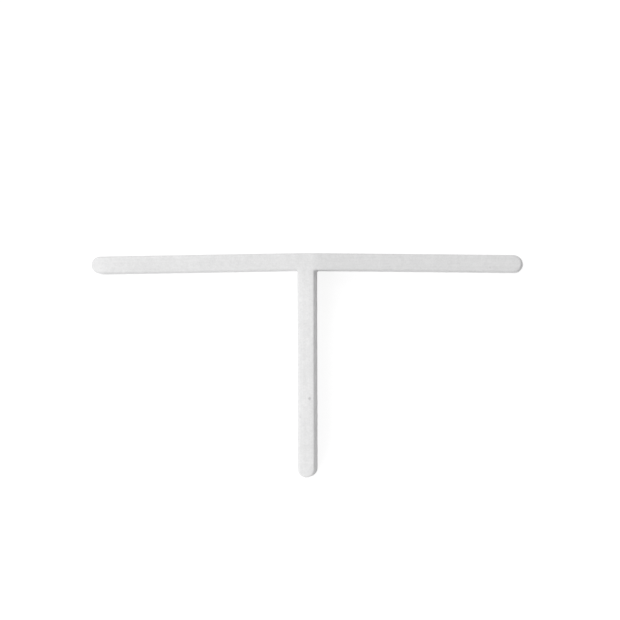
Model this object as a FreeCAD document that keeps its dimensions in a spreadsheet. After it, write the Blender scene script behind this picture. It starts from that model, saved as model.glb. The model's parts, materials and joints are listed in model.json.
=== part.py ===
import FreeCAD, Part
import math
import os

import Sketcher
from FreeCAD import Vector

# Tee-shaped tile spacer, moulded in one piece, lying on its back face.
# Three legs of one width and one reach meet at a junction: two arms along X and a stem to -Y.
# The origin is the middle of the junction, on the back face, and the depth rises along +Z.
# Millimetres and degrees throughout.

doc = FreeCAD.newDocument("TileSpacer")

# Driving dimensions. Widths and reaches are those of the back face, where the mould parts.
sizes = {
    "joint_width": 2.0,  # width of every leg, and of the joint that it keeps between two tiles
    "arm_reach": 24.5,  # middle of the junction to the tip of an arm, along the arm
    "stem_reach": 24.5,  # middle of the junction to the tip of the stem
    "depth": 4.0,  # back face to front face, the way that it is pushed into the joint
    "arm_droop": 0.78,  # lean of each arm towards the stem, the bow left by the mould
    "crown_radius": 150.0,  # gentle arc that carries the back of one arm into the other
    "corner_radius": 0.2,  # inner corners, where the corners of two tiles sit
    "wall_draft": 0.5,  # lean of every side wall, so that the legs leave the mould
    "front_edge_radius": 0.3,  # soft edge all round the front face
    "pin_mark_diameter": 1.2,  # round marks of the ejector pins in the back face
    "pin_mark_depth": 0.1,
    "pin_mark_setback": 3.0,  # tip of a leg to the middle of its pin mark
}

sheet = doc.addObject("Spreadsheet::Sheet", "Sizes")
for row, (alias, size) in enumerate(sizes.items(), start=1):
    sheet.set(f"A{row}", alias)
    sheet.set(f"B{row}", str(size))
    sheet.setAlias(f"B{row}", alias)
doc.recompute()

# Ends of a line or an arc, and the middle of an arc, as the sketch numbers them.
START = 1
END = 2
MIDDLE = 3

# The sketch's own origin and upright axis, as the sketch numbers them.
ORIGIN = (-1, START)
Y_AXIS = -2

UP = Vector(0, 0, 1)

quarter_turn = math.pi / 2
half_turn = math.pi

body = doc.addObject("PartDesign::Body", "Spacer")
body.Label = "tile_spacer"


def sketch_on_back(name):
    # The back face lies in the body's own XY plane.
    plane = next(item for item in body.Origin.OriginFeatures if item.Role == "XY_Plane")
    sketch = body.newObject("Sketcher::SketchObject", name)
    sketch.AttachmentSupport = (plane, [""])
    sketch.MapMode = "FlatFace"
    return sketch


def constrain(sketch, kind, *where, name=None, size=None):
    # A constraint that has a name takes its size from the sheet.
    index = sketch.addConstraint(Sketcher.Constraint(kind, *where))
    if name:
        sketch.renameConstraint(index, name)
        sketch.setExpression(f"Constraints.{name}", size)


def arc(middle, radius, first, last):
    return Part.ArcOfCircle(Part.Circle(middle, UP, radius), first, last)


# Where the outline starts from, before its constraints hold it.
half_width = sheet.joint_width / 2
droop = math.radians(sheet.arm_droop)
corner_offset = half_width + sheet.corner_radius


def on_arm(along, outward):
    # A point of the right arm: along its middle line from the junction, and out to its back.
    x = along * math.cos(droop) + outward * math.sin(droop)
    y = outward * math.cos(droop) - along * math.sin(droop)
    return Vector(x, y, 0)


def mirrored(point):
    return Vector(-point.x, point.y, 0)


crown_middle = Vector(0, (half_width - sheet.crown_radius) / math.cos(droop), 0)
crown_end = on_arm((sheet.crown_radius - half_width) * math.tan(droop), half_width)
arm_tip = on_arm(sheet.arm_reach - half_width, 0)
arm_tip_back = on_arm(sheet.arm_reach - half_width, half_width)
arm_tip_lower = on_arm(sheet.arm_reach - half_width, -half_width)
corner_along = corner_offset * (1 + math.sin(droop)) / math.cos(droop)
corner_middle = on_arm(corner_along, -corner_offset)
corner_on_arm = on_arm(corner_along, -half_width)
corner_on_stem = Vector(half_width, corner_middle.y, 0)
stem_tip = Vector(0, half_width - sheet.stem_reach, 0)
stem_tip_right = Vector(half_width, stem_tip.y, 0)

outline = sketch_on_back("Outline")

# Round stretches: the crown, the full round tips and the two inner corners.
crown = outline.addGeometry(
    arc(crown_middle, sheet.crown_radius, quarter_turn - droop, quarter_turn + droop)
)
right_tip = outline.addGeometry(arc(arm_tip, half_width, -quarter_turn - droop, quarter_turn - droop))
left_tip = outline.addGeometry(
    arc(mirrored(arm_tip), half_width, quarter_turn + droop, half_turn + quarter_turn + droop)
)
bottom_tip = outline.addGeometry(arc(stem_tip, half_width, half_turn, 2 * half_turn))
right_corner = outline.addGeometry(
    arc(corner_middle, sheet.corner_radius, quarter_turn - droop, half_turn)
)
left_corner = outline.addGeometry(
    arc(mirrored(corner_middle), sheet.corner_radius, 0, quarter_turn + droop)
)

# Straight edges between them.
right_back = outline.addGeometry(Part.LineSegment(crown_end, arm_tip_back))
right_lower = outline.addGeometry(Part.LineSegment(arm_tip_lower, corner_on_arm))
right_stem = outline.addGeometry(Part.LineSegment(corner_on_stem, stem_tip_right))
left_stem = outline.addGeometry(Part.LineSegment(mirrored(stem_tip_right), mirrored(corner_on_stem)))
left_lower = outline.addGeometry(Part.LineSegment(mirrored(corner_on_arm), mirrored(arm_tip_lower)))
left_back = outline.addGeometry(Part.LineSegment(mirrored(arm_tip_back), mirrored(crown_end)))

# Middle lines of the two arms, for construction only.
right_middle = outline.addGeometry(Part.LineSegment(Vector(0, 0, 0), arm_tip), True)
left_middle = outline.addGeometry(Part.LineSegment(Vector(0, 0, 0), mirrored(arm_tip)), True)

# Every edge runs into the next without a step.
meetings = [
    (crown, START, right_back, START),
    (right_back, END, right_tip, END),
    (right_tip, START, right_lower, START),
    (right_lower, END, right_corner, START),
    (right_corner, END, right_stem, START),
    (right_stem, END, bottom_tip, END),
    (bottom_tip, START, left_stem, START),
    (left_stem, END, left_corner, START),
    (left_corner, END, left_lower, START),
    (left_lower, END, left_tip, END),
    (left_tip, START, left_back, START),
    (left_back, END, crown, END),
]
for meeting in meetings:
    constrain(outline, "Tangent", *meeting)

# Each arm lies along its middle line, which leans towards the stem.
arms = [
    (right_middle, right_tip, right_back, right_lower),
    (left_middle, left_tip, left_back, left_lower),
]
for middle_line, tip, back_edge, lower_edge in arms:
    constrain(outline, "Coincident", middle_line, START, *ORIGIN)
    constrain(outline, "Coincident", middle_line, END, tip, MIDDLE)
    constrain(outline, "Parallel", back_edge, middle_line)
    constrain(outline, "Parallel", lower_edge, middle_line)
constrain(outline, "Symmetric", right_tip, MIDDLE, left_tip, MIDDLE, Y_AXIS)
constrain(
    outline, "Distance", right_middle, sheet.arm_reach - half_width,
    name="arm_length", size="Sizes.arm_reach - Sizes.joint_width / 2",
)
constrain(outline, "Angle", right_middle, -droop, name="arm_lean", size="-Sizes.arm_droop")

# The stem stands square on the middle of the junction.
constrain(outline, "Vertical", right_stem)
constrain(outline, "Vertical", left_stem)
constrain(outline, "PointOnObject", bottom_tip, MIDDLE, Y_AXIS)
constrain(
    outline, "Distance", *ORIGIN, bottom_tip, MIDDLE, sheet.stem_reach - half_width,
    name="stem_length", size="Sizes.stem_reach - Sizes.joint_width / 2",
)

# Tips are full rounds of the joint's width, and both inner corners are alike.
constrain(outline, "Radius", right_tip, half_width, name="tip_radius", size="Sizes.joint_width / 2")
constrain(outline, "Equal", right_tip, left_tip)
constrain(outline, "Equal", right_tip, bottom_tip)
constrain(
    outline, "Radius", right_corner, sheet.corner_radius,
    name="inner_radius", size="Sizes.corner_radius",
)
constrain(outline, "Equal", right_corner, left_corner)
constrain(
    outline, "Radius", crown, sheet.crown_radius, name="back_radius", size="Sizes.crown_radius"
)

slab = body.newObject("PartDesign::Pad", "Slab")
slab.Profile = outline
slab.setExpression("Length", "Sizes.depth")
outline.Visibility = False
doc.recompute()


# A wall's normal points up or down by less than this share, and a flat side's by more.
steepest_wall = 0.5


def faces_where(shape, wanted):
    # Names of the faces whose normal's upward share is as wanted.
    names = []
    for number, face in enumerate(shape.Faces, start=1):
        first, last, low, high = face.ParameterRange
        normal = face.normalAt((first + last) / 2, (low + high) / 2)
        if wanted(normal.z):
            names.append(f"Face{number}")
    return names


# All side walls lean in from the back face to the front.
walls = body.newObject("PartDesign::Draft", "LeaningWalls")
walls.Base = (slab, faces_where(slab.Shape, lambda upward: abs(upward) < steepest_wall))
walls.NeutralPlane = (slab, faces_where(slab.Shape, lambda upward: upward < -steepest_wall))
walls.setExpression("Angle", "Sizes.wall_draft")
doc.recompute()

front_edge = body.newObject("PartDesign::Fillet", "SoftFrontEdge")
front_edge.Base = (walls, faces_where(walls.Shape, lambda upward: upward > steepest_wall))
front_edge.setExpression("Radius", "Sizes.front_edge_radius")
doc.recompute()

# Ejector pins push on the back face: at the junction and near each tip.
mark_radius = sheet.pin_mark_diameter / 2
arm_mark = on_arm(sheet.arm_reach - sheet.pin_mark_setback, 0)
stem_mark = Vector(0, sheet.pin_mark_setback - sheet.stem_reach, 0)

pin_marks = sketch_on_back("PinMarks")
junction_circle = pin_marks.addGeometry(Part.Circle(Vector(0, 0, 0), UP, mark_radius))
right_circle = pin_marks.addGeometry(Part.Circle(arm_mark, UP, mark_radius))
left_circle = pin_marks.addGeometry(Part.Circle(mirrored(arm_mark), UP, mark_radius))
stem_circle = pin_marks.addGeometry(Part.Circle(stem_mark, UP, mark_radius))
mark_line = pin_marks.addGeometry(Part.LineSegment(Vector(0, 0, 0), arm_mark), True)

constrain(pin_marks, "Coincident", junction_circle, MIDDLE, *ORIGIN)
constrain(pin_marks, "Coincident", mark_line, START, *ORIGIN)
constrain(pin_marks, "Coincident", mark_line, END, right_circle, MIDDLE)
constrain(
    pin_marks, "Distance", mark_line, sheet.arm_reach - sheet.pin_mark_setback,
    name="arm_mark", size="Sizes.arm_reach - Sizes.pin_mark_setback",
)
constrain(pin_marks, "Angle", mark_line, -droop, name="mark_lean", size="-Sizes.arm_droop")
constrain(pin_marks, "Symmetric", right_circle, MIDDLE, left_circle, MIDDLE, Y_AXIS)
constrain(pin_marks, "PointOnObject", stem_circle, MIDDLE, Y_AXIS)
constrain(
    pin_marks, "Distance", *ORIGIN, stem_circle, MIDDLE, sheet.stem_reach - sheet.pin_mark_setback,
    name="stem_mark", size="Sizes.stem_reach - Sizes.pin_mark_setback",
)
constrain(
    pin_marks, "Radius", junction_circle, mark_radius,
    name="mark_radius", size="Sizes.pin_mark_diameter / 2",
)
for circle in (right_circle, left_circle, stem_circle):
    constrain(pin_marks, "Equal", junction_circle, circle)

recesses = body.newObject("PartDesign::Pocket", "PinRecesses")
recesses.Profile = pin_marks
recesses.Reversed = True  # into the solid, which lies above the back face
recesses.setExpression("Length", "Sizes.pin_mark_depth")
pin_marks.Visibility = False
doc.recompute()

# Nothing is written unless every step of the model holds.
for item in doc.Objects:
    if "Invalid" in item.State or "Error" in item.State:
        raise RuntimeError(f"{item.Name} failed: {item.State}")
for sketch in (outline, pin_marks):
    if not sketch.FullyConstrained:
        raise RuntimeError(f"{sketch.Name} is not fully constrained")
if not recesses.Shape.Volume < front_edge.Shape.Volume:
    raise RuntimeError("the pin marks cut nothing from the back face")
if body.Shape.isNull() or not body.Shape.isValid() or len(body.Shape.Solids) != 1:
    raise RuntimeError("the spacer is not one valid solid")

os.makedirs("parts", exist_ok=True)
body.Shape.exportStep(f"parts/{body.Label}.step")

box = body.Shape.optimalBoundingBox()
print(f"{body.Label}: {box.XLength:.3f} x {box.YLength:.3f} x {box.ZLength:.3f} mm")
print(f"x {box.XMin:.3f} to {box.XMax:.3f}, y {box.YMin:.3f} to {box.YMax:.3f}")
print(f"volume {body.Shape.Volume:.3f} cubic mm, {len(body.Shape.Faces)} faces")
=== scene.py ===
import json
import math

import bmesh
import bpy
from mathutils import Matrix, Vector


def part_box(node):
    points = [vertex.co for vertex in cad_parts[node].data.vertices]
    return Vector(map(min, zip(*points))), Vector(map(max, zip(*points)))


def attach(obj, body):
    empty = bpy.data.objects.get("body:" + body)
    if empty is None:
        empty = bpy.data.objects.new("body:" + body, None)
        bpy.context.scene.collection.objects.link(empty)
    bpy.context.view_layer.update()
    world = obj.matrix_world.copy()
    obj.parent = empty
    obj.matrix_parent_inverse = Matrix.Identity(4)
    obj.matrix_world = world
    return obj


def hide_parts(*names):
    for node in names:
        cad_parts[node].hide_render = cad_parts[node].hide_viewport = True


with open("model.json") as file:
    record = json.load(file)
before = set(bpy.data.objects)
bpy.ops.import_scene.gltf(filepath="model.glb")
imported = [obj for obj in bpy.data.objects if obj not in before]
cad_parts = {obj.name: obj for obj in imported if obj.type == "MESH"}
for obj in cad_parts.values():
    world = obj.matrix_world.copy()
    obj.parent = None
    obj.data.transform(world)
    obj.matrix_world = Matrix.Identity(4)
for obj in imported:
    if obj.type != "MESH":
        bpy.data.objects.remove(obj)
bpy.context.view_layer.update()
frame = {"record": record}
mm = 0.001
print("frame loaded")

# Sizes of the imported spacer, read off the frame, in millimetres and radians.
seats = {mount["name"]: mount for mount in frame["record"]["mounts"]}
boxLow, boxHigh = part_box("tile_spacer")
sizePlaces = 2  # decimals that the two reaches are rounded to


def spacerSizes():
    stemSeat, backSeat = seats["stem_seat_right"], seats["back_seat_right"]
    draft = math.asin(stemSeat["axis"][2])
    droop = math.atan2(backSeat["axis"][0], backSeat["axis"][1])
    seatX, _, seatHeight = stemSeat["pos_m"]
    halfWidth = (seatX + seatHeight * math.tan(draft)) / mm
    armReach = (boxHigh[0] / mm - halfWidth) / math.cos(droop) + halfWidth
    return {
        "halfWidth": halfWidth,
        "depth": (boxHigh[2] - boxLow[2]) / mm,
        "stemReach": round(-boxLow[1] / mm, sizePlaces),
        "armReach": round(armReach, sizePlaces),
        "droop": droop,
        "draft": draft,
    }


sizes = spacerSizes()
print("sizes", {name: round(value, 4) for name, value in sizes.items()})

# What a user would change on the spacer itself, in millimetres.
spacer = {
    "crownRadius": 150.0,  # gentle arc that joins the two arms over the junction
    "cornerRadius": 0.2,  # in the two inner corners
    "edgeWidth": 0.24,  # soft edge round the front face, across
    "edgeDrop": 0.27,  # and down
    "faceBow": 0.03,  # how much the middle of a leg stands above its soft edge
    "land": 0.6,  # from the soft edge in towards the middle of a leg
    "spacing": 0.085,  # between points along a straight edge
    "arcSteps": 18,  # points in a quarter turn
    "wallSteps": 12,  # rows of faces up the wall
    "edgeSteps": 8,  # round the soft edge
    "landSteps": 8,  # and across the land
    "joinWithin": 0.002,  # points nearer than this become one
    "sharpEdge": 38.0,  # degrees from which an edge is drawn sharp
    "lipReach": 0.02,  # uneven lip that the mould leaves round the back face
    "lipHeight": 0.05,  # up to here it keeps its full reach
    "lipTop": 0.09,  # and here it ends
    "lipSteps": 2,  # rows of faces up and back to the wall
    "lipPatch": 0.35,  # how many lip patches to a millimetre
    "lipDetail": 3.0,
    "lipFrom": 0.42,  # noise under this leaves no lip
    "lipFull": 0.72,  # and over this the full one
    "waveHeight": 0.012,  # slow waves of the moulded surface
    "waveScale": 0.28,
    "waveDetail": 2.0,
    "flatUnder": 0.3,  # no waves lower than this over the back face
    "wavyOver": 1.0,  # and full ones from here
    "sinkDepth": 0.02,  # dip where the plastic is thickest
    "sinkRadius": 1.6,
    "markDiameter": 1.2,  # of the ejector pins' marks in the back face
    "markDepth": 0.1,
    "markSetback": 3.0,  # from the tip of a leg
    "markSteps": 48,  # points round a mark
    "seed": 7,
}

# Small pit that a grain of dirt left in the stem's front face, with painted shade in it, in millimetres.
pit = {
    "place": (0.46, -15.53),
    "radius": 0.18,
    "depth": 0.06,
    "steepness": 4,  # how flat its bottom and how steep its side is
    "rim": 0.005,  # plastic pushed up round it
    "rimPlace": 1.5,  # where, in radii of the pit
    "rimWidth": 0.4,
    "paintedShadeShare": 0.33,  # how dark the painted shade makes its bottom, as a share of the plastic's tone
    "paintedShadeReach": 1.5,  # in radii of the pit
    "reach": 0.55,  # how far round it the faces are made finer
    "cuts": 3,
}


def onArm(along, outward):
    c, s = math.cos(sizes["droop"]), math.sin(sizes["droop"])
    return (along * c + outward * s, outward * c - along * s)


def arcPoints(middle, radius, first, last):
    steps = max(2, round(abs(last - first) / (math.pi / 2) * spacer["arcSteps"]))
    turns = [first + (last - first) * i / steps for i in range(steps)]
    return [(middle[0] + radius * math.cos(t), middle[1] + radius * math.sin(t)) for t in turns]


def linePoints(start, end):
    steps = max(1, round(math.dist(start, end) / spacer["spacing"]))
    return [
        (start[0] + (end[0] - start[0]) * i / steps, start[1] + (end[1] - start[1]) * i / steps)
        for i in range(steps)
    ]


def outlinePoints():
    # Clockwise from the middle of the back: right arm, stem, left arm.
    half, droop, quarter = sizes["halfWidth"], sizes["droop"], math.pi / 2
    crown, corner = spacer["crownRadius"], spacer["cornerRadius"]
    crownEnd = onArm((crown - half) * math.tan(droop), half)
    tip = onArm(sizes["armReach"] - half, 0)
    offset = half + corner
    cornerAlong = offset * (1 + math.sin(droop)) / math.cos(droop)
    cornerMiddle = onArm(cornerAlong, -offset)
    stemTip = (0.0, half - sizes["stemReach"])
    crownSteps = round(crownEnd[0] / spacer["spacing"])
    right = [
        (crown * math.sin(droop * i / crownSteps),
         (half - crown) / math.cos(droop) + crown * math.cos(droop * i / crownSteps))
        for i in range(crownSteps)
    ]
    right += linePoints(crownEnd, onArm(sizes["armReach"] - half, half))
    right += arcPoints(tip, half, quarter - droop, -quarter - droop)
    right += linePoints(onArm(sizes["armReach"] - half, -half), onArm(cornerAlong, -half))
    right += arcPoints(cornerMiddle, corner, quarter - droop, math.pi)
    right += linePoints((half, cornerMiddle[1]), (half, stemTip[1]))
    right += arcPoints(stemTip, half, 0, -quarter)
    bottom = (0.0, -sizes["stemReach"])
    left = [(-x, y) for x, y in reversed(right[1:])]
    return right + [bottom] + left


def outlineCurve(points):
    curve = bpy.data.curves.new("spacerOutline", "CURVE")
    curve.dimensions = "3D"
    spline = curve.splines.new("POLY")
    spline.points.add(len(points) - 1)
    for point, (x, y) in zip(spline.points, points):
        point.co = (x, y, 0, 1)
    spline.use_cyclic_u = True
    made = bpy.data.objects.new("spacerOutline", curve)
    bpy.context.scene.collection.objects.link(made)
    return made


def addNode(tree, kind, inputs=None, **settings):
    node = tree.nodes.new(kind)
    for name, value in settings.items():
        setattr(node, name, value)
    for name, value in (inputs or {}).items():
        socket = node.inputs[name]
        if isinstance(value, bpy.types.NodeSocket):
            tree.links.new(value, socket)
        else:
            socket.default_value = value
    return node


def maths(tree, operation, a, b=0.0):
    return addNode(tree, "ShaderNodeMath", {0: a, 1: b}, operation=operation).outputs[0]


def vectorMaths(tree, operation, a, b=(0, 0, 0)):
    inputs = {0: a, "Scale": b} if operation == "SCALE" else {0: a, 1: b}
    return addNode(tree, "ShaderNodeVectorMath", inputs, operation=operation).outputs[0]


def lengthOf(tree, vector):
    return addNode(tree, "ShaderNodeVectorMath", {0: vector}, operation="LENGTH").outputs["Value"]


def upBy(tree, height):
    return addNode(tree, "ShaderNodeCombineXYZ", {"Z": height}).outputs[0]


def ramp(tree, value, low, high, toLow=0.0, toHigh=1.0, smooth=False):
    inputs = {"Value": value, 1: low, 2: high, 3: toLow, 4: toHigh}
    kind = "SMOOTHSTEP" if smooth else "LINEAR"
    return addNode(tree, "ShaderNodeMapRange", inputs, interpolation_type=kind, clamp=True).outputs[0]


def joined(tree, shapes):
    join = addNode(tree, "GeometryNodeJoinGeometry")
    for shape in shapes:
        tree.links.new(shape, join.inputs[0])
    return join.outputs[0]


def raised(tree, shape, height):
    inputs = {"Geometry": shape, "Translation": upBy(tree, height)}
    return addNode(tree, "GeometryNodeTransform", inputs).outputs[0]


def filled(tree, loops):
    # A filled curve always lies flat at height 0.
    return addNode(tree, "GeometryNodeFillCurve", {"Curve": loops}, mode="TRIANGLES").outputs[0]


def copiedTo(tree, points, shape):
    copies = addNode(tree, "GeometryNodeInstanceOnPoints", {"Points": points, "Instance": shape})
    return addNode(tree, "GeometryNodeRealizeInstances", {"Geometry": copies.outputs[0]}).outputs[0]


# Names of the values that the form takes from the sizes and from the spacer above.
formSizes = (
    "depth", "draft", "armReach", "stemReach", "droop", "edgeWidth", "edgeDrop", "faceBow", "land",
    "lipReach", "lipHeight", "lipTop", "lipPatch", "waveHeight", "waveScale",
    "sinkDepth", "sinkRadius", "markDiameter", "markDepth", "markSetback", "joinWithin", "seed",
)
formSteps = ("wallSteps", "edgeSteps", "landSteps")


def shoulderHeight(tree, given):
    # Where the wall ends and the soft edge begins.
    underBow = maths(tree, "SUBTRACT", given["depth"], given["faceBow"])
    return maths(tree, "SUBTRACT", underBow, given["edgeDrop"])


def lipAt(tree, given, place):
    # How far the uneven lip reaches: the same at one place for the wall and for the back face.
    scaled = vectorMaths(tree, "SCALE", place, given["lipPatch"])
    inputs = {"Vector": scaled, "W": given["seed"], "Detail": spacer["lipDetail"]}
    noise = addNode(tree, "ShaderNodeTexNoise", inputs, noise_dimensions="4D").outputs["Fac"]
    share = ramp(tree, noise, spacer["lipFrom"], spacer["lipFull"])
    return maths(tree, "MULTIPLY", share, given["lipReach"])


def insetLoop(tree, outline, inset):
    path, here, inward = outline
    place = vectorMaths(tree, "ADD", here, vectorMaths(tree, "SCALE", inward, inset))
    return addNode(tree, "GeometryNodeSetPosition", {"Geometry": path, "Position": place}).outputs[0]


def sideShell(tree, given, outline):
    # A grid carries the section: one column for each point of the outline, and one to close the round.
    path, here, inwardHere = outline
    counted = addNode(tree, "GeometryNodeAttributeDomainSize", {"Geometry": path}, component="CURVE")
    pointCount = counted.outputs["Point Count"]
    lipSteps = spacer["lipSteps"]
    rowsToEdge = maths(tree, "ADD", given["wallSteps"], lipSteps)
    rowsToLand = maths(tree, "ADD", rowsToEdge, given["edgeSteps"])
    lastRow = maths(tree, "ADD", rowsToLand, given["landSteps"])
    rows = maths(tree, "ADD", lastRow, 1)
    columns = maths(tree, "ADD", pointCount, 1)
    gridInputs = {"Size X": 1.0, "Size Y": 1.0, "Vertices X": columns, "Vertices Y": rows}
    grid = addNode(tree, "GeometryNodeMeshGrid", gridInputs).outputs["Mesh"]
    index = addNode(tree, "GeometryNodeInputIndex").outputs[0]
    column = maths(tree, "FLOOR", maths(tree, "DIVIDE", maths(tree, "ADD", index, 0.5), rows))
    row = maths(tree, "SUBTRACT", index, maths(tree, "MULTIPLY", column, rows))
    onPath = maths(tree, "MODULO", column, pointCount)

    def sampled(value):
        inputs = {"Geometry": path, "Value": value, "Index": onPath}
        sample = addNode(tree, "GeometryNodeSampleIndex", inputs, data_type="FLOAT_VECTOR", domain="POINT")
        return sample.outputs[0]

    place, inward = sampled(here), sampled(inwardHere)

    # Shares of the way through the section: lip, leaning wall, soft edge, land.
    lipRise = ramp(tree, row, 0, 1)
    lipFade = ramp(tree, row, 1, lipSteps)
    up = ramp(tree, row, lipSteps, rowsToEdge)
    turn = ramp(tree, row, rowsToEdge, rowsToLand, 0.0, math.pi / 2)
    inLand = ramp(tree, row, rowsToLand, lastRow)

    # How high each row lies.
    lipSlope = maths(tree, "SUBTRACT", given["lipTop"], given["lipHeight"])
    lipLow = maths(tree, "MULTIPLY", lipRise, given["lipHeight"])
    lipLevel = maths(tree, "ADD", lipLow, maths(tree, "MULTIPLY", lipFade, lipSlope))
    wallRise = maths(tree, "SUBTRACT", shoulderHeight(tree, given), given["lipTop"])
    wallLevel = maths(tree, "ADD", lipLevel, maths(tree, "MULTIPLY", up, wallRise))
    edgeRise = maths(tree, "MULTIPLY", given["edgeDrop"], maths(tree, "SINE", turn))
    edgeLevel = maths(tree, "ADD", wallLevel, edgeRise)
    toMiddle = maths(tree, "SUBTRACT", 1.0, inLand)
    bowed = maths(tree, "SUBTRACT", 1.0, maths(tree, "MULTIPLY", toMiddle, toMiddle))
    level = maths(tree, "ADD", edgeLevel, maths(tree, "MULTIPLY", given["faceBow"], bowed))

    # How far in from the outline it lies.
    lipOut = maths(tree, "MULTIPLY", lipAt(tree, given, place), maths(tree, "SUBTRACT", 1.0, lipFade))
    leanIn = maths(tree, "MULTIPLY", wallLevel, maths(tree, "TANGENT", given["draft"]))
    edgeTurned = maths(tree, "SUBTRACT", 1.0, maths(tree, "COSINE", turn))
    edgeIn = maths(tree, "MULTIPLY", given["edgeWidth"], edgeTurned)
    landIn = maths(tree, "MULTIPLY", inLand, given["land"])
    wallIn = maths(tree, "SUBTRACT", leanIn, lipOut)
    inset = maths(tree, "ADD", wallIn, maths(tree, "ADD", edgeIn, landIn))

    flatPlace = vectorMaths(tree, "ADD", place, vectorMaths(tree, "SCALE", inward, inset))
    newPlace = vectorMaths(tree, "ADD", flatPlace, upBy(tree, level))
    return addNode(tree, "GeometryNodeSetPosition", {"Geometry": grid, "Position": newPlace}).outputs[0]


def frontFace(tree, given, outline):
    # The front face inside the land.
    lean = maths(tree, "TANGENT", given["draft"])
    fullLean = maths(tree, "MULTIPLY", shoulderHeight(tree, given), lean)
    toLand = maths(tree, "ADD", fullLean, given["edgeWidth"])
    loop = insetLoop(tree, outline, maths(tree, "ADD", toLand, given["land"]))
    return raised(tree, filled(tree, loop), given["depth"])


def markPoints(tree, given):
    # One ejector pin pushed at the junction, and one near each tip.
    armMark = maths(tree, "SUBTRACT", given["armReach"], given["markSetback"])
    across = maths(tree, "MULTIPLY", armMark, maths(tree, "COSINE", given["droop"]))
    drop = maths(tree, "MULTIPLY", maths(tree, "SINE", given["droop"]), -1)
    down = maths(tree, "MULTIPLY", armMark, drop)
    stemMark = maths(tree, "SUBTRACT", given["markSetback"], given["stemReach"])
    spots = [
        {"X": 0.0, "Y": 0.0},
        {"X": across, "Y": down},
        {"X": maths(tree, "MULTIPLY", across, -1), "Y": down},
        {"X": 0.0, "Y": stemMark},
    ]
    points = []
    for spot in spots:
        place = addNode(tree, "ShaderNodeCombineXYZ", spot).outputs[0]
        points.append(addNode(tree, "GeometryNodePoints", {"Count": 1, "Position": place}).outputs[0])
    return joined(tree, points)


def backFace(tree, given, outline, marks):
    # The back face, open where the ejector pins pushed.
    radius = maths(tree, "DIVIDE", given["markDiameter"], 2)
    rimInputs = {"Resolution": spacer["markSteps"], "Radius": radius}
    rim = addNode(tree, "GeometryNodeCurvePrimitiveCircle", rimInputs, mode="RADIUS").outputs[0]
    here = outline[1]
    outward = maths(tree, "MULTIPLY", lipAt(tree, given, here), -1)
    loops = joined(tree, (copiedTo(tree, marks, rim), insetLoop(tree, outline, outward)))
    return filled(tree, loops)


def pinMarks(tree, given, marks):
    # Each pin mark is a shallow round recess.
    radius = maths(tree, "DIVIDE", given["markDiameter"], 2)
    wallInputs = {"Vertices": spacer["markSteps"], "Radius": radius, "Depth": given["markDepth"]}
    wall = addNode(tree, "GeometryNodeMeshCylinder", wallInputs, fill_type="NONE").outputs["Mesh"]
    wall = raised(tree, wall, maths(tree, "DIVIDE", given["markDepth"], 2))
    topInputs = {"Vertices": spacer["markSteps"], "Radius": radius}
    top = addNode(tree, "GeometryNodeMeshCircle", topInputs, fill_type="NGON").outputs["Mesh"]
    top = raised(tree, top, given["markDepth"])
    return copiedTo(tree, marks, joined(tree, (wall, top)))


def waved(tree, given, shape):
    # Slow waves of the moulded surface. The back face stays flat.
    place = addNode(tree, "GeometryNodeInputPosition").outputs[0]
    height = addNode(tree, "ShaderNodeSeparateXYZ", {0: place}).outputs["Z"]
    awayFromBack = ramp(tree, height, spacer["flatUnder"], spacer["wavyOver"], smooth=True)
    noiseInputs = {
        "Vector": place, "W": given["seed"], "Scale": given["waveScale"], "Detail": spacer["waveDetail"],
    }
    wave = addNode(tree, "ShaderNodeTexNoise", noiseInputs, noise_dimensions="4D").outputs["Fac"]
    swing = maths(tree, "MULTIPLY", maths(tree, "SUBTRACT", wave, 0.5), awayFromBack)
    outBy = maths(tree, "MULTIPLY", swing, maths(tree, "MULTIPLY", given["waveHeight"], 2))
    normal = addNode(tree, "GeometryNodeInputNormal").outputs[0]
    inputs = {"Geometry": shape, "Offset": vectorMaths(tree, "SCALE", normal, outBy)}
    return addNode(tree, "GeometryNodeSetPosition", inputs).outputs[0]


def sunk(tree, given, shape):
    # The front face dips over the junction.
    place = addNode(tree, "GeometryNodeInputPosition").outputs[0]
    parts = addNode(tree, "ShaderNodeSeparateXYZ", {0: place}).outputs
    flat = addNode(tree, "ShaderNodeCombineXYZ", {"X": parts["X"], "Y": parts["Y"]}).outputs[0]
    near = ramp(tree, lengthOf(tree, flat), 0.0, given["sinkRadius"], 1.0, 0.0, smooth=True)
    edgeStart = maths(tree, "SUBTRACT", given["depth"], given["edgeDrop"])
    frontOnly = ramp(tree, parts["Z"], edgeStart, given["depth"])
    down = maths(tree, "MULTIPLY", given["sinkDepth"], -1)
    dip = maths(tree, "MULTIPLY", maths(tree, "MULTIPLY", near, frontOnly), down)
    return addNode(tree, "GeometryNodeSetPosition", {"Geometry": shape, "Offset": upBy(tree, dip)}).outputs[0]


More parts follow.
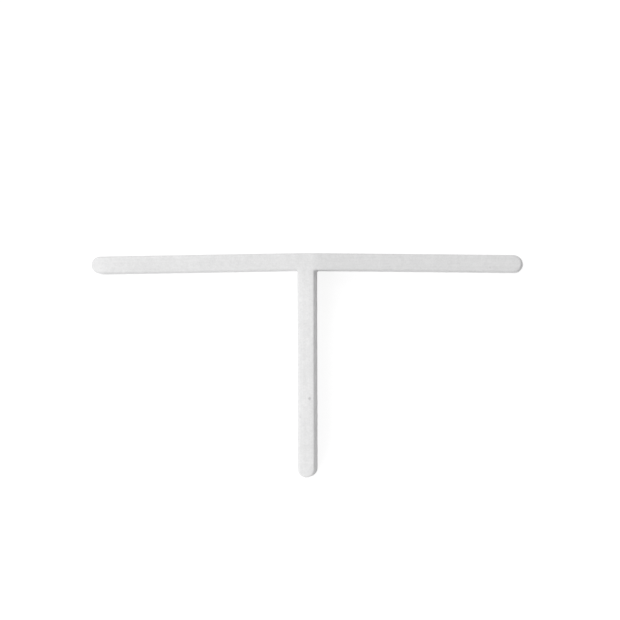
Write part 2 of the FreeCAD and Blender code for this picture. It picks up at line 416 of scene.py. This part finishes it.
def formTree():
    # Carries the moulded section round the outline, then closes both faces.
    tree = bpy.data.node_groups.new("mouldedForm", "GeometryNodeTree")
    for way in ("INPUT", "OUTPUT"):
        tree.interface.new_socket(name="Geometry", in_out=way, socket_type="NodeSocketGeometry")
    for name in formSizes:
        tree.interface.new_socket(name=name, in_out="INPUT", socket_type="NodeSocketFloat")
    for name in formSteps:
        tree.interface.new_socket(name=name, in_out="INPUT", socket_type="NodeSocketInt")
    tree.interface.new_socket(name="finish", in_out="INPUT", socket_type="NodeSocketMaterial")
    given = tree.nodes.new("NodeGroupInput").outputs
    here = addNode(tree, "GeometryNodeInputPosition").outputs[0]
    along = addNode(tree, "GeometryNodeInputTangent").outputs[0]
    outline = (given["Geometry"], here, vectorMaths(tree, "CROSS_PRODUCT", along, (0, 0, 1)))
    marks = markPoints(tree, given)
    whole = joined(tree, (
        sideShell(tree, given, outline),
        frontFace(tree, given, outline),
        backFace(tree, given, outline, marks),
        pinMarks(tree, given, marks),
    ))
    joinInputs = {"Geometry": whole, "Distance": given["joinWithin"]}
    closed = addNode(tree, "GeometryNodeMergeByDistance", joinInputs).outputs[0]
    moulded = sunk(tree, given, waved(tree, given, closed))
    real = addNode(tree, "GeometryNodeRealizeInstances", {"Geometry": moulded}).outputs[0]
    finishInputs = {"Geometry": real, "Material": given["finish"]}
    finished = addNode(tree, "GeometryNodeSetMaterial", finishInputs).outputs[0]
    addNode(tree, "NodeGroupOutput", {"Geometry": finished})
    return tree


def applyTree(made, tree, values):
    # Sets the named inputs, and turns the tree's result into a plain mesh.
    modifier = made.modifiers.new(tree.name, "NODES")
    modifier.node_group = tree
    for item in tree.interface.items_tree:
        if item.in_out == "INPUT" and item.name in values:
            modifier[item.identifier] = values[item.name]
    bpy.context.view_layer.update()
    depsgraph = bpy.context.evaluated_depsgraph_get()
    mesh = bpy.data.meshes.new_from_object(made.evaluated_get(depsgraph), depsgraph=depsgraph)
    made.modifiers.remove(modifier)
    return mesh


# The plastic: off-white, satin, with the fine grain of an unpolished mould. Borders are in
# millimetres, scales in patches to a metre, and shares are of the tone.
plastic = {
    "colour": (0.77, 0.769, 0.771),
    "stemPaintedLight": 1.048,  # painted light: the stem is drawn a little paler, standing in for the stronger light on it
    "stemBorder": (-0.8, -2.2),
    "rightPaintedShade": 0.922,  # painted shade: the right arm is drawn a little greyer, standing in for the weaker light on it
    "rightBorder": (0.6, 1.6),
    "leftTipPaintedLight": 1.06,  # painted light: and the left tip's front is drawn palest, standing in for the light its end catches from the left
    "leftTipBorder": (-20.5, -23.5),
    "frontBorder": (0.15, 0.02),  # how far below the front face
    "patches": {
        "clouds": {"scale": 420.0, "share": 0.03},
        "mottle": {"scale": 1900.0, "share": 0.06},
        "moulded": {"scale": 5200.0, "share": 0.07},
    },
    "streaks": {"along": 60.0, "across": 5200.0, "share": 0.035},
    # Core and edge in widths of a patch, for one patch in three or so.
    "specks": {"scale": 420.0, "core": 0.03, "edge": 0.055, "above": 0.7, "share": 0.10},
    "roughness": 0.52,
    "glossier": 0.05,  # how much less of it there is in places
    "duller": 0.08,  # and how much more
    "glossScale": 800.0,
    "grainScale": 9000.0,
    "grainDetail": 2.0,
    "peelScale": 1500.0,
    "peelDetail": 1.0,
    "peelShare": 2.0,  # of the height, against the grain's
    "bumpHeight": 0.03,  # mm
    "bumpStrength": 0.2,
    "ior": 1.49,
}
noiseSpan = (0.3, 0.7)  # where a noise's values mostly lie
noiseDetail = 3.0


def unevenTree():
    # Shader group: noise on the given coordinates, spread between two values, and the noise's own height.
    tree = bpy.data.node_groups.new("unevenTone", "ShaderNodeTree")
    tree.interface.new_socket(name="Coordinates", in_out="INPUT", socket_type="NodeSocketVector")
    for name in ("Scale", "Detail", "Low", "High"):
        tree.interface.new_socket(name=name, in_out="INPUT", socket_type="NodeSocketFloat")
    for name in ("Value", "Height"):
        tree.interface.new_socket(name=name, in_out="OUTPUT", socket_type="NodeSocketFloat")
    given = tree.nodes.new("NodeGroupInput").outputs
    noiseInputs = {"Vector": given["Coordinates"], "Scale": given["Scale"], "Detail": given["Detail"]}
    noise = addNode(tree, "ShaderNodeTexNoise", noiseInputs).outputs["Fac"]
    value = ramp(tree, noise, *noiseSpan, given["Low"], given["High"])
    addNode(tree, "NodeGroupOutput", {"Value": value, "Height": noise})
    return tree


unevenTone = unevenTree()


def uneven(tree, coords, scale, low, high, detail=noiseDetail):
    group = addNode(tree, "ShaderNodeGroup", node_tree=unevenTone)
    tree.links.new(coords, group.inputs["Coordinates"])
    for name, value in (("Scale", scale), ("Detail", detail), ("Low", low), ("High", high)):
        group.inputs[name].default_value = value
    return group.outputs


def around(share):
    return (1 - share / 2, 1 + share / 2)


def border(tree, value, places):
    # A soft border between two places along an axis.
    first, last = (place * mm for place in places)
    return ramp(tree, value, first, last, smooth=True)


def paintedLegLight(tree, parts):
    # Painted light and shade: the stem is drawn paler, the right arm greyer and the left tip's front paler,
    # standing in for how the light falls on each.
    onStem = border(tree, parts["Y"], plastic["stemBorder"])
    offStem = maths(tree, "SUBTRACT", 1.0, onStem)
    onRight = maths(tree, "MULTIPLY", border(tree, parts["X"], plastic["rightBorder"]), offStem)
    frontFrom, frontTo = ((sizes["depth"] - below) * mm for below in plastic["frontBorder"])
    onFront = ramp(tree, parts["Z"], frontFrom, frontTo)
    onTip = maths(tree, "MULTIPLY", onFront, border(tree, parts["X"], plastic["leftTipBorder"]))
    tone = maths(tree, "ADD", 1.0, maths(tree, "MULTIPLY", onStem, plastic["stemPaintedLight"] - 1))
    tone = maths(tree, "ADD", tone, maths(tree, "MULTIPLY", onRight, plastic["rightPaintedShade"] - 1))
    tone = maths(tree, "ADD", tone, maths(tree, "MULTIPLY", onTip, plastic["leftTipPaintedLight"] - 1))
    return tone, onStem


def pitPaintedShade(tree, coords):
    # Painted shade: the pit's bottom is drawn darker, standing in for the shade inside it.
    middle = Vector((*pit["place"], sizes["depth"])) * mm
    away = lengthOf(tree, vectorMaths(tree, "SUBTRACT", coords, middle))
    reach = pit["radius"] * pit["paintedShadeReach"] * mm
    return ramp(tree, away, 0.0, reach, 1 - pit["paintedShadeShare"], 1.0, smooth=True)


def streakTone(tree, coords, onStem):
    # Faint lines that the cutter left in the mould, along each leg.
    streaks = plastic["streaks"]
    along, across = streaks["along"], streaks["across"]
    lines = []
    for scale in ((along, across, along), (across, along, along)):
        stretched = addNode(tree, "ShaderNodeMapping", {"Vector": coords, "Scale": scale}).outputs[0]
        lines.append(uneven(tree, stretched, 1.0, *around(streaks["share"]))["Value"])
    inputs = {0: onStem, 2: lines[0], 3: lines[1]}
    return addNode(tree, "ShaderNodeMix", inputs, data_type="FLOAT").outputs[0]


def speckShade(tree, coords):
    # A few specks of dust.
    specks = plastic["specks"]
    inputs = {"Vector": coords, "Scale": specks["scale"], "Randomness": 1.0}
    cells = addNode(tree, "ShaderNodeTexVoronoi", inputs).outputs
    near = ramp(tree, cells["Distance"], specks["core"], specks["edge"], 1.0, 0.0)
    drawn = addNode(tree, "ShaderNodeSeparateColor", {"Color": cells["Color"]}).outputs[0]
    chosen = maths(tree, "GREATER_THAN", drawn, specks["above"])
    return maths(tree, "MULTIPLY", maths(tree, "MULTIPLY", near, chosen), specks["share"])


def plasticMaterial():
    material = bpy.data.materials.new("satinWhitePlastic")
    material.use_nodes = True
    tree = material.node_tree
    tree.nodes.clear()
    coords = addNode(tree, "ShaderNodeTexCoord").outputs["Object"]
    parts = addNode(tree, "ShaderNodeSeparateXYZ", {0: coords}).outputs
    # Painted light and shade on the legs.
    tone, onStem = paintedLegLight(tree, parts)
    # Painted shade in the pit.
    tone = maths(tree, "MULTIPLY", tone, pitPaintedShade(tree, coords))
    for patch in plastic["patches"].values():
        patchTone = uneven(tree, coords, patch["scale"], *around(patch["share"]))["Value"]
        tone = maths(tree, "MULTIPLY", tone, patchTone)
    tone = maths(tree, "MULTIPLY", tone, streakTone(tree, coords, onStem))
    tone = maths(tree, "SUBTRACT", tone, speckShade(tree, coords))
    colour = vectorMaths(tree, "SCALE", plastic["colour"], tone)

    glossiest = plastic["roughness"] - plastic["glossier"]
    dullest = plastic["roughness"] + plastic["duller"]
    gloss = uneven(tree, coords, plastic["glossScale"], glossiest, dullest)["Value"]
    grain = uneven(tree, coords, plastic["grainScale"], 0.0, 1.0, plastic["grainDetail"])["Height"]
    peel = uneven(tree, coords, plastic["peelScale"], 0.0, 1.0, plastic["peelDetail"])["Height"]
    height = maths(tree, "ADD", grain, maths(tree, "MULTIPLY", peel, plastic["peelShare"]))
    bump = addNode(tree, "ShaderNodeBump", {
        "Height": height, "Strength": plastic["bumpStrength"], "Distance": plastic["bumpHeight"] * mm,
    }).outputs["Normal"]
    shader = addNode(tree, "ShaderNodeBsdfPrincipled", {
        "Base Color": colour, "Roughness": gloss, "Normal": bump, "IOR": plastic["ior"],
    })
    addNode(tree, "ShaderNodeOutputMaterial", {"Surface": shader.outputs[0]})
    return material


def pressPit(body):
    # Makes the faces round the pit finer, then pushes it in and its rim up.
    middle = Vector((*pit["place"], sizes["depth"]))
    faces = [face for face in body.faces if (face.calc_center_median() - middle).length < pit["reach"]]
    edges = list({edge for face in faces for edge in face.edges})
    bmesh.ops.subdivide_edges(body, edges=edges, cuts=pit["cuts"], use_grid_fill=True)
    for point in body.verts:
        if point.co.z < sizes["depth"] - spacer["edgeDrop"]:
            continue
        away = (point.co.xy - middle.xy).length / pit["radius"]
        point.co.z -= pit["depth"] * math.exp(-away ** pit["steepness"])
        point.co.z += pit["rim"] * math.exp(-((away - pit["rimPlace"]) / pit["rimWidth"]) ** 2)


def buildSpacer():
    points = outlinePoints()
    outline = outlineCurve(points)
    mesh = applyTree(outline, formTree(), {**spacer, **sizes, "finish": plasticMaterial()})
    bpy.data.objects.remove(outline)
    body = bmesh.new()
    body.from_mesh(mesh)
    pressPit(body)
    bmesh.ops.scale(body, vec=(mm, mm, mm), verts=body.verts)
    bmesh.ops.recalc_face_normals(body, faces=body.faces)
    openEdges = sum(1 for edge in body.edges if not edge.is_manifold)
    sharpest = math.radians(spacer["sharpEdge"])
    for face in body.faces:
        face.smooth = True
    for edge in body.edges:
        edge.smooth = not edge.is_manifold or edge.calc_face_angle() < sharpest
    body.to_mesh(mesh)
    body.free()
    mesh.name = "spacerBody"
    made = bpy.data.objects.new("spacerBody", mesh)
    bpy.context.scene.collection.objects.link(made)
    print("spacer:", len(points), "points round,", len(mesh.polygons), "faces,", openEdges, "open edges")
    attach(made, "root")
    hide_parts("tile_spacer")


buildSpacer()

floorSetup = {
    "size": 1.2,  # metres
    "tone": (0.5, 0.5, 0.5),  # what the spacer gets back from it
    "fibreScale": 900.0,
    "fibreShade": 0.015,  # share of the tone that the darkest fibres lack
    "glow": 0.85,  # share of white that the camera sees whatever the light
    "litTone": (0.24, 0.24, 0.24, 1),  # and the part that it sees lit, so that the shadow shows
}


def seenDirectly(tree):
    # By the camera, or in a reflection or through glass.
    rays = addNode(tree, "ShaderNodeLightPath").outputs
    mirrored = maths(tree, "MAXIMUM", rays["Is Glossy Ray"], rays["Is Transmission Ray"])
    return maths(tree, "MAXIMUM", rays["Is Camera Ray"], mirrored)


def paperMaterial():
    material = bpy.data.materials.new("palePaper")
    material.use_nodes = True
    tree = material.node_tree
    tree.nodes.clear()
    coords = addNode(tree, "ShaderNodeTexCoord").outputs["Object"]
    fibre = uneven(tree, coords, floorSetup["fibreScale"], 1 - floorSetup["fibreShade"], 1.0)["Value"]
    tone = vectorMaths(tree, "SCALE", floorSetup["tone"], fibre)
    paper = addNode(tree, "ShaderNodeBsdfDiffuse", {"Color": tone}).outputs[0]
    glowInputs = {"Color": (1, 1, 1, 1), "Strength": floorSetup["glow"]}
    glow = addNode(tree, "ShaderNodeEmission", glowInputs).outputs[0]
    dim = addNode(tree, "ShaderNodeBsdfDiffuse", {"Color": floorSetup["litTone"]}).outputs[0]
    lit = addNode(tree, "ShaderNodeAddShader", {0: dim, 1: glow}).outputs[0]
    mixed = addNode(tree, "ShaderNodeMixShader", {0: seenDirectly(tree), 1: paper, 2: lit}).outputs[0]
    addNode(tree, "ShaderNodeOutputMaterial", {"Surface": mixed})
    return material


def buildFloor():
    half = floorSetup["size"] / 2
    corners = [(-half, -half, 0), (half, -half, 0), (half, half, 0), (-half, half, 0)]
    mesh = bpy.data.meshes.new("floor")
    mesh.from_pydata(corners, [], [(0, 1, 2, 3)])
    mesh.materials.append(paperMaterial())
    floor = bpy.data.objects.new("floor", mesh)
    bpy.context.scene.collection.objects.link(floor)


buildFloor()
print("floor laid")

# Soft boxes that look at the junction, in metres and watts, and the room's own light.
roomLight = 0.46
lamps = {
    "aboveLeft": {"place": (-0.160, 0.150, 0.306), "size": 0.14, "power": 0.265},
    "stemSide": {"place": (-0.165, -0.260, 0.190), "size": 0.20, "power": 0.595},
    "barSide": {"place": (-0.050, 0.300, 0.190), "size": 0.20, "power": 0.445},
}


def buildLights():
    world = bpy.data.worlds.new("studio")
    world.use_nodes = True
    background = world.node_tree.nodes["Background"]
    background.inputs["Color"].default_value = (1, 1, 1, 1)
    background.inputs["Strength"].default_value = roomLight
    bpy.context.scene.world = world
    for name, setup in lamps.items():
        lamp = bpy.data.lights.new(name, "AREA")
        lamp.size = setup["size"]
        lamp.energy = setup["power"]
        holder = bpy.data.objects.new(name, lamp)
        holder.visible_camera = False
        holder.location = setup["place"]
        holder.rotation_mode = "QUATERNION"
        holder.rotation_quaternion = (-Vector(setup["place"])).to_track_quat("-Z", "Y")
        bpy.context.scene.collection.objects.link(holder)


buildLights()

cameraSetup = {
    "target": (0.32, -5.48, 2.0),  # mm, what the middle of the picture looks at
    "distance": 420.0,
    "leanRight": 3.97,  # degrees off the vertical
    "leanDown": 0.50,
    "roll": -0.13,
    "pixelsPerMm": 8.785,
    "picture": 620,
    "sensor": 36.0,
    "nearest": 0.01,  # metres that it sees from and to
    "farthest": 10,
}


def buildCamera():
    data = bpy.data.cameras.new("camera")
    camera = bpy.data.objects.new("camera", data)
    target = Vector(cameraSetup["target"]) * mm
    right = math.tan(math.radians(cameraSetup["leanRight"]))
    down = math.tan(math.radians(cameraSetup["leanDown"]))
    lean = Vector((right, -down, 1)).normalized()
    camera.location = target + lean * cameraSetup["distance"] * mm
    # Upright in the picture is the part's +Y, then the whole picture is rolled a little.
    across = Vector((0, 1, 0)).cross(lean).normalized()
    upright = lean.cross(across)
    turn = Matrix((across, upright, lean)).transposed().to_4x4()
    roll = Matrix.Rotation(math.radians(cameraSetup["roll"]), 4, "Z")
    camera.matrix_world = Matrix.Translation(camera.location) @ turn @ roll
    pictureWidth = cameraSetup["picture"] / cameraSetup["pixelsPerMm"]
    data.sensor_width = cameraSetup["sensor"]
    data.lens = data.sensor_width * cameraSetup["distance"] / pictureWidth
    data.clip_start = cameraSetup["nearest"]
    data.clip_end = cameraSetup["farthest"]
    bpy.context.scene.collection.objects.link(camera)
    bpy.context.scene.camera = camera


buildCamera()
bpy.context.scene.view_settings.view_transform = "Standard"
print("lights and camera set")
